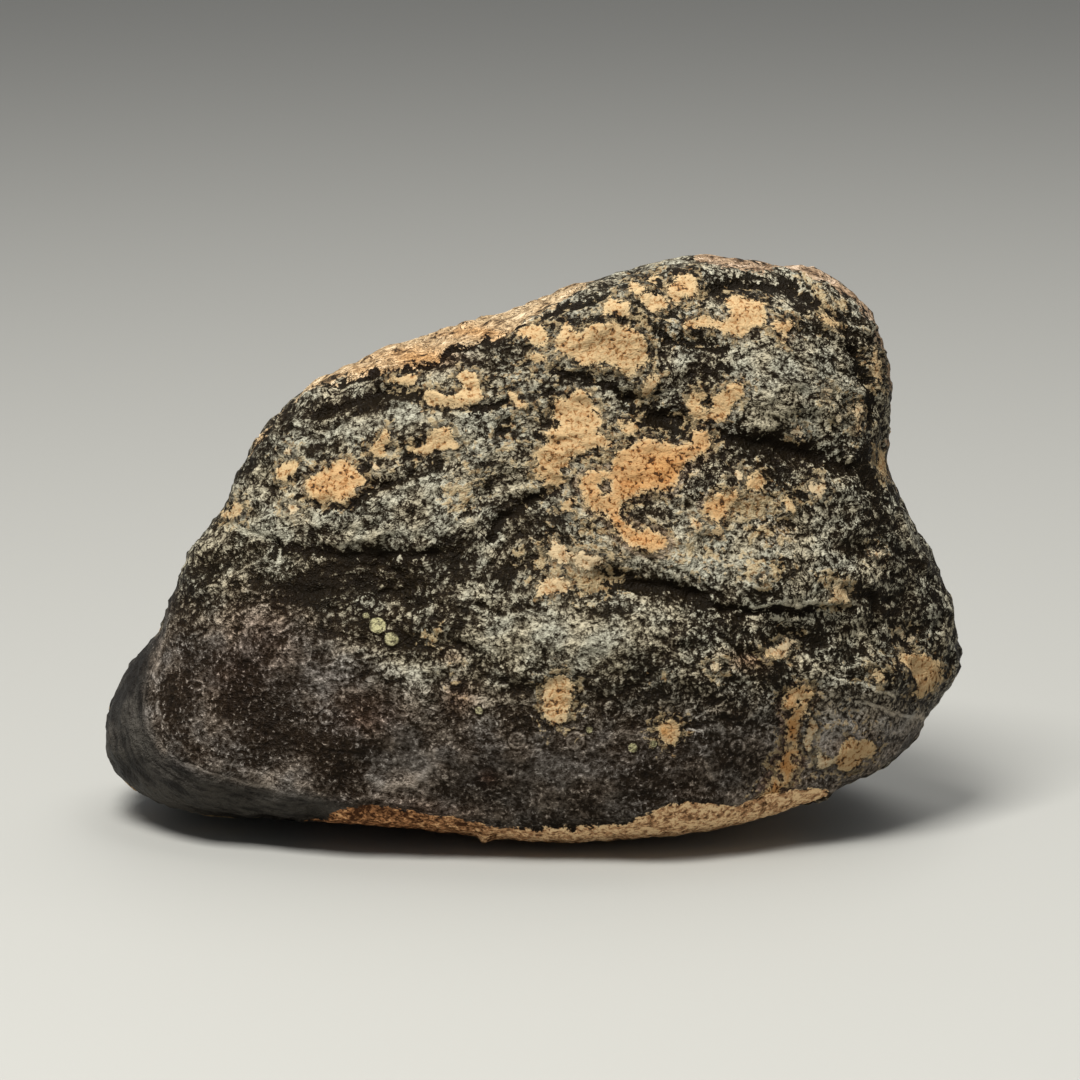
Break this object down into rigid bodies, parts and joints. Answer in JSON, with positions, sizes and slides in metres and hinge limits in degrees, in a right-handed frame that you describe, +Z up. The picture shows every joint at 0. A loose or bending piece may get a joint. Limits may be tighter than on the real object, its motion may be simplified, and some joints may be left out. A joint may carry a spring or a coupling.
{
  "type": "meteorite",
  "caption": "Dark weathered stony meteorite, an irregular wedge-shaped stone that rests on a small flat spot.",
  "frame": {"origin": "centre of the bounding box in X and Y, at the ground it rests on", "axes": "+X along the broad face, the longest way; +Y from the broad face to the back; +Z up"},
  "size_m": [0.0518, 0.033, 0.0345],
  "materials": {
    "weathered_stone": "satin"
  },
  "bodies": {
    "root": {"stone": "weathered_stone"}
  },
  "joints": []
}
